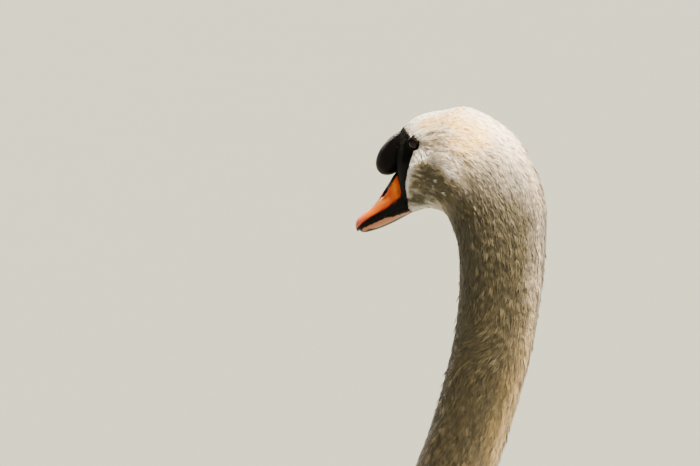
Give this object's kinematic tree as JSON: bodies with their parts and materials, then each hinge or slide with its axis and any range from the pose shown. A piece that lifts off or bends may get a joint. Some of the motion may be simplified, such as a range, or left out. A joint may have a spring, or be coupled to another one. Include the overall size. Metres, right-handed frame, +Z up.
{
  "type": "mute swan model",
  "caption": "Life-size model of an adult male mute swan at rest on its belly, neck in a gentle S, bill dipped, wings folded, feet tucked under.",
  "frame": {"origin": "on the flat of the belly that the bird rests on, in the plane that divides its left side from its right", "axes": "+Z up, -Y the way the bird faces, +X the bird's left"},
  "size_m": [0.356, 0.7857, 0.8016],
  "materials": {
    "plumage": "soft, slightly silky feathers, cream to yellow on the head",
    "bare_skin": "fine-grained black skin, satin",
    "bill_orange": "satin horn, orange with a black edge, saddle and nail",
    "bill_flesh": "satin horn, flesh pink",
    "eye": "wet dark brown",
    "leg_skin": "scaled black-grey skin, satin"
  },
  "bodies": {
    "root": {"head": "plumage", "neck_upper": "plumage", "neck_middle": "plumage", "neck_lower": "plumage", "trunk": "plumage", "tail": "plumage", "wing_left": "plumage", "wing_right": "plumage", "knob": "bare_skin", "bill_upper": "bill_orange", "bill_lower": "bill_flesh", "eye_left": "eye", "eye_right": "eye", "leg_left": "leg_skin", "leg_right": "leg_skin", "foot_left": "leg_skin", "foot_right": "leg_skin"}
  },
  "joints": []
}
